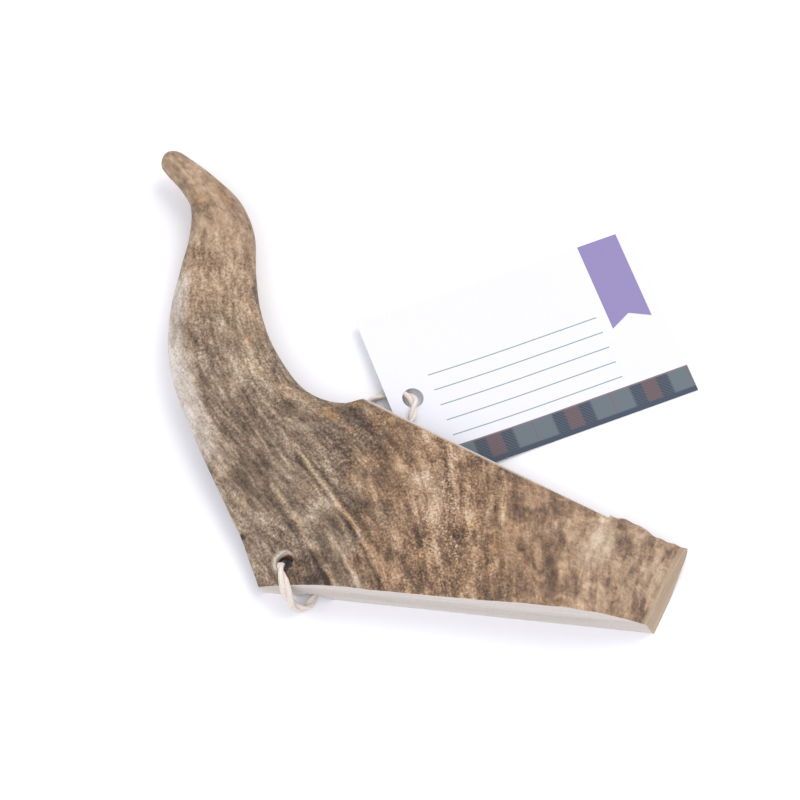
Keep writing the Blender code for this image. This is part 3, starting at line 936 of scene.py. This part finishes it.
def mark_cut_faces(mesh):
    """Gives the sawn faces and the drilled bore the second material, and makes the sawn faces flat."""
    planes = [(Vector(cut[0]) * MM, Vector(cut[1]).normalized()) for cut in (LONG_CUT, END_CUT, SLANT_CUT)]
    axis = Vector((HOLE_X * MM, HOLE_Y * MM))
    for face in mesh.polygons:
        sawn = any(
            face.normal.dot(direction) > 0.999 and abs((face.center - point).dot(direction)) < 0.02 * MM
            for point, direction in planes
        )
        from_axis = face.center.xy - axis
        inward = from_axis.dot(face.normal.xy)
        bored = from_axis.length < BORE_REACH * MM and inward < -0.4 * from_axis.length
        face.material_index = 1 if sawn or bored else 0
        face.use_smooth = not sawn


def marked(marks, x, y):
    """The sum of soft-edged patches with uneven outlines, each x, y, width, height and strength."""
    total = 0.0
    for centre_x, centre_y, wide, tall, strength in marks:
        dx = (x - centre_x) / wide + 1.1 * cloud(x, y, 7.0, 41.0)
        dy = (y - centre_y) / tall + 1.1 * cloud(x, y, 7.0, 43.0)
        total += strength * math.exp(-dx * dx - dy * dy)
    return total


def skin_marks(x, y, z):
    """What the skin's colours follow: the grain, the fine relief, how strong each kind of mark is, and
    painted shade along the tine's right edge and in the pit.
    """
    across, along = grain(x, y)
    left, right = edge_distances(x, y)
    back = fade(z, 6.0, 9.0)
    from_hole = math.hypot(x - HOLE_X, y - HOLE_Y)
    above_left = (y - HOLE_Y) - (x - HOLE_X)
    # Painted shade: the skin inside the pit is darkened, as if shade fell in it.
    pit_shade = math.exp(-(math.hypot(x - PIT_CENTRE[0], y - PIT_CENTRE[1] - 0.4) / PIT_RADIUS) ** 4)
    worn = math.exp(-(left / PALE_EDGE_WIDTH) ** 2)
    worn *= fade(y, PALE_EDGE_LOW, PALE_EDGE_LOW + 20.0) * fade(y, PALE_EDGE_TOP + 14.0, PALE_EDGE_TOP)
    return {
        "grain": (across, along, 0.9 * z),
        "height": fine_relief(x, y),
        "vein": 2.0 * vein_height(x, y),
        "pale": marked(PALE_MARKS, x, y) * (0.4 + 0.6 * back) + 1.3 * worn,
        "warm": fade(x, -32.0, -2.0) * fade(y, 10.0, -10.0),
        "honey": max(fade(y, -12.0, 48.0), 0.75 * fade(x, 20.0, 70.0)),
        "orange": marked(ORANGE_MARKS, x, y) * back,
        # the dark marks, plus painted shade in the pit
        "dark": marked(DARK_MARKS, x, y) * back + 2.0 * pit_shade,
        "crust": marked(CRUST_MARKS, x, y) * back,
        "smooth": max(fade(y, 30.0, 62.0), 0.8 * fade(x, 14.0, 38.0)),
        # Painted shade: a thin darkening along the tine's right edge, where its steep side turns away.
        "rim": math.exp(-right / 0.9) * fade(y, -12.0, -2.0),
        # where the bore is, for the painted shade on its wall
        "bore": fade(from_hole, 4.2, 3.2),
        "mouth": fade(from_hole, 3.7, 2.9) * fade(above_left, -1.8, 1.2),
    }


def store_marks(mesh):
    rows = [skin_marks(*(vert.co / MM)) for vert in mesh.vertices]
    for name in rows[0]:
        vector = name == "grain"
        attribute = mesh.attributes.new(name, "FLOAT_VECTOR" if vector else "FLOAT", "POINT")
        values = np.array([row[name] for row in rows], dtype=np.float32).ravel()
        attribute.data.foreach_set("vector" if vector else "value", values)


def skin_noises(recipe, place):
    """Cloudy noises, from specks of half a millimetre to patches of a centimetre and more."""
    grain_place = recipe.attribute("grain", "Vector")
    return {
        "speckle": recipe.spots(place, (1.5, 1.4, 1.4), 4.0, 0.65),
        "streak": recipe.spots(grain_place, (0.65, 0.13, 0.3), 4.0, 0.6),
        "band": recipe.spots(grain_place, (0.2, 0.035, 0.06), 3.0, 0.55),
        "broad": recipe.spots(place, (0.11, 0.09, 0.1), 3.0, 0.55),
        "blotch": recipe.spots(grain_place, (0.26, 0.17, 0.2), 3.0, 0.6, 0.7),
        "mottle": recipe.spots(grain_place, (0.42, 0.3, 0.35), 3.0, 0.55, 0.8),
        "where": recipe.spots(place, (0.06, 0.06, 0.06), 2.0, 0.5),
        "hue": recipe.spots(place, (0.16, 0.13, 0.15), 4.0, 0.6),
    }


def skin_grit(recipe, noises):
    """The specks and streaks, weaker where the skin is smooth, and the mottles, stronger there."""
    granular = recipe.maths("SUBTRACT", 1.0, recipe.attribute("smooth"))
    strength = recipe.maths("MULTIPLY_ADD", granular, 0.8, 0.2)
    strength = recipe.times(strength, recipe.maths("MULTIPLY_ADD", noises["where"], 1.6, 1.0))
    speckled = recipe.times(noises["speckle"], strength)
    streaked = recipe.times(noises["streak"], recipe.maths("MULTIPLY_ADD", granular, 0.5, 0.5))
    mottle = recipe.maths("SUBTRACT", recipe.spread(noises["mottle"], -0.1, 0.1), 0.5)
    mottled = recipe.times(mottle, recipe.maths("MULTIPLY_ADD", granular, -0.1, 0.16))
    return speckled, streaked, mottled


def skin_colour(recipe, noises, tone):
    """Grey or brown skin, honey on the tine and at the right end, with orange and with pale patches."""
    warm = recipe.total(0.0, (recipe.attribute("warm"), 1.0), (noises["hue"], 2.4))
    grey = recipe.ramp(tone, SKIN_GREY)
    mixed = recipe.mix(recipe.spread(warm, 0.1, 0.9), grey, recipe.ramp(tone, SKIN_BROWN))
    honey = recipe.total(0.0, (recipe.attribute("honey"), 1.0), (noises["broad"], 0.8))
    mixed = recipe.mix(recipe.spread(honey, 0.0, 0.9), mixed, recipe.ramp(tone, SKIN_HONEY))
    ember = recipe.total(
        0.0,
        (recipe.attribute("orange"), 1.0),
        (noises["blotch"], 1.2),
        (recipe.attribute("vein"), 0.55),
    )
    mixed = recipe.mix(recipe.spread(ember, 0.15, 0.95), mixed, recipe.ramp(tone, SKIN_ORANGE))
    return recipe.mix(recipe.spread(recipe.attribute("pale"), 0.1, 0.9), mixed, recipe.ramp(tone, SKIN_CREAM))


def rub_edges(recipe, place, mixed):
    """Skin rubbed pale along the slanted cut, at the hole's mouth and next to the sawn end."""
    x, _, _ = recipe.split(place)
    from_slant = recipe.maths("ABSOLUTE", recipe.inside(place, SLANT_CUT))
    sharp = recipe.times(recipe.spread(from_slant, 0.5, 0.2), recipe.spread(x, -27.0, -22.0))
    sharp = recipe.times(sharp, recipe.spread(x, 40.0, 28.0))
    mixed = recipe.mix(recipe.times(sharp, 0.55), mixed, SLANT_RIM)
    mixed = recipe.mix(recipe.attribute("mouth"), mixed, HOLE_RIM)
    from_end = recipe.inside(place, END_CUT)
    lines = recipe.spots(recipe.beside(place, from_end), (0.07, 0.07, 1.5), 3.0, 0.6)
    worn = recipe.ramp(recipe.total(0.5, (lines, 1.2)), SKIN_WORN)
    return recipe.mix(recipe.spread(recipe.total(from_end, (lines, 2.5)), 2.0, 0.8), mixed, worn)


def skin_material():
    recipe = Recipe("antler_skin", 0.6)
    place = recipe.place()
    noises = skin_noises(recipe, place)
    speckled, streaked, mottled = skin_grit(recipe, noises)
    tone = recipe.total(
        0.48,
        (speckled, 1.15),
        (streaked, 0.85),
        (noises["band"], 0.55),
        (noises["broad"], 0.45),
        (noises["blotch"], 0.7),
        (mottled, 1.0),
        (recipe.attribute("height"), 0.5),
        (recipe.attribute("pale"), 0.24),
        # dark marks, and painted shade in the pit
        (recipe.attribute("dark"), -0.22),
        (recipe.attribute("vein"), 0.14),
        # painted shade along the tine's right edge
        (recipe.attribute("rim"), -0.12),
    )
    mixed = skin_colour(recipe, noises, tone)
    crust = recipe.total(
        0.0,
        (recipe.attribute("crust"), 0.16),
        (noises["speckle"], 0.6),
        (noises["blotch"], 0.35),
        (noises["streak"], 0.35),
    )
    mixed = recipe.mix(recipe.times(recipe.spread(crust, 0.17, 0.3), 0.75), mixed, SKIN_CRUST)
    recipe.paint(rub_edges(recipe, place, mixed))
    rough = recipe.total(0.62, (noises["speckle"], -0.3), (recipe.attribute("smooth"), -0.12))
    recipe.feed(recipe.shader.inputs["Roughness"], rough)
    recipe.shader.inputs["Specular IOR Level"].default_value = 0.4
    recipe.bump(recipe.total(0.0, (speckled, 1.0), (streaked, 0.7), (crust, 0.5)), 0.5, 0.6)
    return recipe.material


def cut_material():
    """Sawn bone: cream, with fine saw lines and a darker porous core; the bore gets painted shade further
    down and up its right wall.
    """
    recipe = Recipe("antler_sawn", 0.7)
    place = recipe.place()
    x, _, z = recipe.split(place)
    lines = recipe.spots(place, (0.05, 0.05, 2.4), 3.0, 0.6)
    pores = recipe.spots(place, (1.4, 1.4, 1.8), 4.0, 0.7)
    core = recipe.maths("ABSOLUTE", recipe.maths("SUBTRACT", z, 5.5))
    core = recipe.spread(core, 4.5, 1.0)
    tone = recipe.total(0.62, (lines, 0.6), (pores, 0.45), (core, -0.14))
    at_end = recipe.spread(recipe.inside(place, END_CUT), 0.8, 0.2)
    sawn = recipe.mix(at_end, recipe.ramp(tone, SAWN_CREAM), recipe.ramp(tone, SAWN_TAN))
    # Painted shade in the bore: darker further down, and reaching higher on the right wall, away from the
    # light.
    sloping = recipe.maths("MULTIPLY_ADD", recipe.maths("SUBTRACT", x, HOLE_X), -HOLE_SLOPE, z)
    bore_shade = recipe.spread(sloping, *BORE_SHADE_HEIGHTS)
    recipe.paint(recipe.mix(recipe.times(recipe.attribute("bore"), bore_shade), sawn, BORE_SHADE_COLOUR))
    recipe.bump(tone, 0.2, 0.5)
    recipe.shader.inputs["Specular IOR Level"].default_value = 0.3
    return recipe.material


def make_antler():
    mesh = mesh_from("antler_grown", grow_antler)
    antler = add_object("antler_grown", mesh)
    saw(antler, "long_cut", LONG_CUT)
    saw(antler, "end_cut", END_CUT)
    saw(antler, "slant_cut", SLANT_CUT)
    drill(antler)
    pit(antler)
    mesh = antler.data
    mesh.materials.clear()
    mesh.materials.append(skin_material())
    mesh.materials.append(cut_material())
    mesh.shade_smooth()
    mesh.set_sharp_from_angle(angle=math.radians(42.0))
    mark_cut_faces(mesh)
    store_marks(mesh)
    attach(antler, "root")
    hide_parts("antler")


# The card

def tag_height(along):
    """Height of the card's lower face above the floor, from the distance to its left edge."""
    return TAG_REST + TAG_LIFT * max(0.0, 1.0 - along / TAG_CURL) ** 2


def ribbon_mask(recipe, u, v):
    """A ribbon hanging from the card's top edge, with a swallowtail end."""
    from_middle = recipe.maths("ABSOLUTE", recipe.maths("SUBTRACT", u, RIBBON_MIDDLE))
    ribbon_end = recipe.maths("MULTIPLY_ADD", from_middle, -RIBBON_SLOPE, RIBBON_NOTCH)
    across = recipe.maths("LESS_THAN", from_middle, RIBBON_WIDTH / 2)
    return recipe.times(across, recipe.maths("GREATER_THAN", v, ribbon_end))


def rule_mask(recipe, u, v):
    """Ruled lines to write on."""
    left, right, low, top = RULE_AREA
    line = recipe.maths("LESS_THAN", recipe.repeats(v, RULE_START, RULE_STEP), RULE_SHARE)
    line = recipe.times(line, recipe.within(v, low, top))
    return recipe.times(line, recipe.within(u, left, right))


def woven_checks(recipe, u, v):
    """Grey fields and dark bands, with a dusty red stripe between two of them, a hem and a thin top line."""
    across = recipe.repeats(u, CHECK_START, CHECK_WIDTH)
    beside = recipe.maths("ABSOLUTE", recipe.maths("SUBTRACT", across, 0.5))
    red = recipe.spread(beside, *RED_BORDER)
    dark = recipe.spread(beside, *DARK_BORDER)
    thin = recipe.spread(beside, *THIN_BORDER)
    twill = recipe.maths("SINE", recipe.times(recipe.maths("ADD", u, v), TWILL_TURN))
    twill = recipe.spread(twill, -0.6, 0.6)
    weave = recipe.mix(dark, "5F6A71", recipe.mix(twill, "333D4B", "47525E"))
    weave = recipe.mix(red, weave, recipe.mix(twill, "685558", "564E54"))
    weave = recipe.mix(thin, weave, "6F6064")
    weave = recipe.mix(recipe.spread(v, *HEM_BORDER), weave, "3A4555")
    return recipe.mix(recipe.spread(v, *LINE_BORDER), weave, "7C6A70")


def card_material():
    recipe = Recipe("tag_card", 0.55)
    place = recipe.place()
    u, v, _ = recipe.split(place)
    paper = recipe.spots(place, (2.5, 2.5, 2.5), 4.0, 0.7)
    card = recipe.ramp(recipe.total(0.5, (paper, 0.6)), ((0.2, "DADAE2"), (0.8, "E6E6EC")))
    card = recipe.mix(ribbon_mask(recipe, u, v), card, RIBBON_COLOUR)
    card = recipe.mix(rule_mask(recipe, u, v), card, RULE_COLOUR)
    card = recipe.mix(recipe.maths("LESS_THAN", v, CHECK_TOP), card, woven_checks(recipe, u, v))
    recipe.paint(card)
    recipe.bump(paper, 0.05, 0.3)
    recipe.shader.inputs["Specular IOR Level"].default_value = 0.35
    return recipe.material


def make_tag():
    """The card: a sheet curled up at its left edge, with a punched hole."""
    columns = 60
    rows = 8

    def sheet(work):
        layers = []
        for level in (0.0, TAG_THICKNESS):
            grid = []
            for row in range(rows + 1):
                across = TAG_HEIGHT * row / rows
                line = []
                for step in range(columns + 1):
                    along = TAG_WIDTH * step / columns
                    line.append(work.verts.new(Vector((along, across, tag_height(along) + level)) * MM))
                grid.append(line)
            layers.append(grid)
        low, high = layers
        for row in range(rows):
            for step in range(columns):
                for grid in (low, high):
                    near, far = grid[row:row + 2]
                    work.faces.new((near[step], near[step + 1], far[step + 1], far[step]))
        for row in (0, rows):
            for step in range(columns):
                work.faces.new((low[row][step], low[row][step + 1], high[row][step + 1], high[row][step]))
        for step in (0, columns):
            for row in range(rows):
                work.faces.new((low[row][step], low[row + 1][step], high[row + 1][step], high[row][step]))

    def punch(work):
        radius = TAG_HOLE_RADIUS * MM
        depth = TAG_PUNCH_DEPTH * MM
        bmesh.ops.create_cone(work, cap_ends=True, segments=64, radius1=radius, radius2=radius, depth=depth)

    tag = add_object("tag_printed", mesh_from("tag_printed", sheet))
    hole = Matrix.Translation((TAG_HOLE[0] * MM, TAG_HOLE[1] * MM, 0.0))
    cut_with(tag, "punch", mesh_from("punch", punch), hole)
    tag.data.materials.clear()
    tag.data.materials.append(card_material())
    tag.data.shade_smooth()
    tag.data.set_sharp_from_angle(angle=math.radians(40.0))
    tag.location = (TAG_CORNER[0] * MM, TAG_CORNER[1] * MM, 0.0)
    tag.rotation_euler = (0.0, 0.0, TAG_TURN)
    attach(tag, "root")
    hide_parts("tag")


# Floor and light

def make_floor():
    def square(work):
        bmesh.ops.create_grid(work, x_segments=1, y_segments=1, size=2.0)

    recipe = Recipe("floor_white", 0.9)
    faint = recipe.spots(recipe.place(), (0.01, 0.01, 0.01), 2.0, 0.5)
    recipe.paint(recipe.ramp(recipe.total(0.5, (faint, 0.3)), ((0.2, "F8F8FA"), (0.8, "FAFAFB"))))
    floor = add_object("floor", mesh_from("floor", square), recipe.material)


def make_light():
    world = bpy.data.worlds.new("studio")
    world.use_nodes = True
    world.node_tree.nodes["Background"].inputs["Color"].default_value = colour(SKY_COLOUR)
    world.node_tree.nodes["Background"].inputs["Strength"].default_value = SKY_STRENGTH
    bpy.context.scene.world = world
    for name, place, size, power, tint in LAMPS:
        data = bpy.data.lights.new(name, "AREA")
        data.size = size
        data.energy = power
        data.color = colour(tint)[:3]
        lamp = bpy.data.objects.new(name, data)
        lamp.location = place
        lamp.rotation_euler = Vector(place).to_track_quat("Z", "Y").to_euler()
        bpy.context.collection.objects.link(lamp)
    bpy.context.scene.view_settings.view_transform = "Standard"


def main():
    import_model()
    make_camera()
    make_string(make_knot())
    make_antler()
    make_tag()
    make_floor()
    make_light()


main()
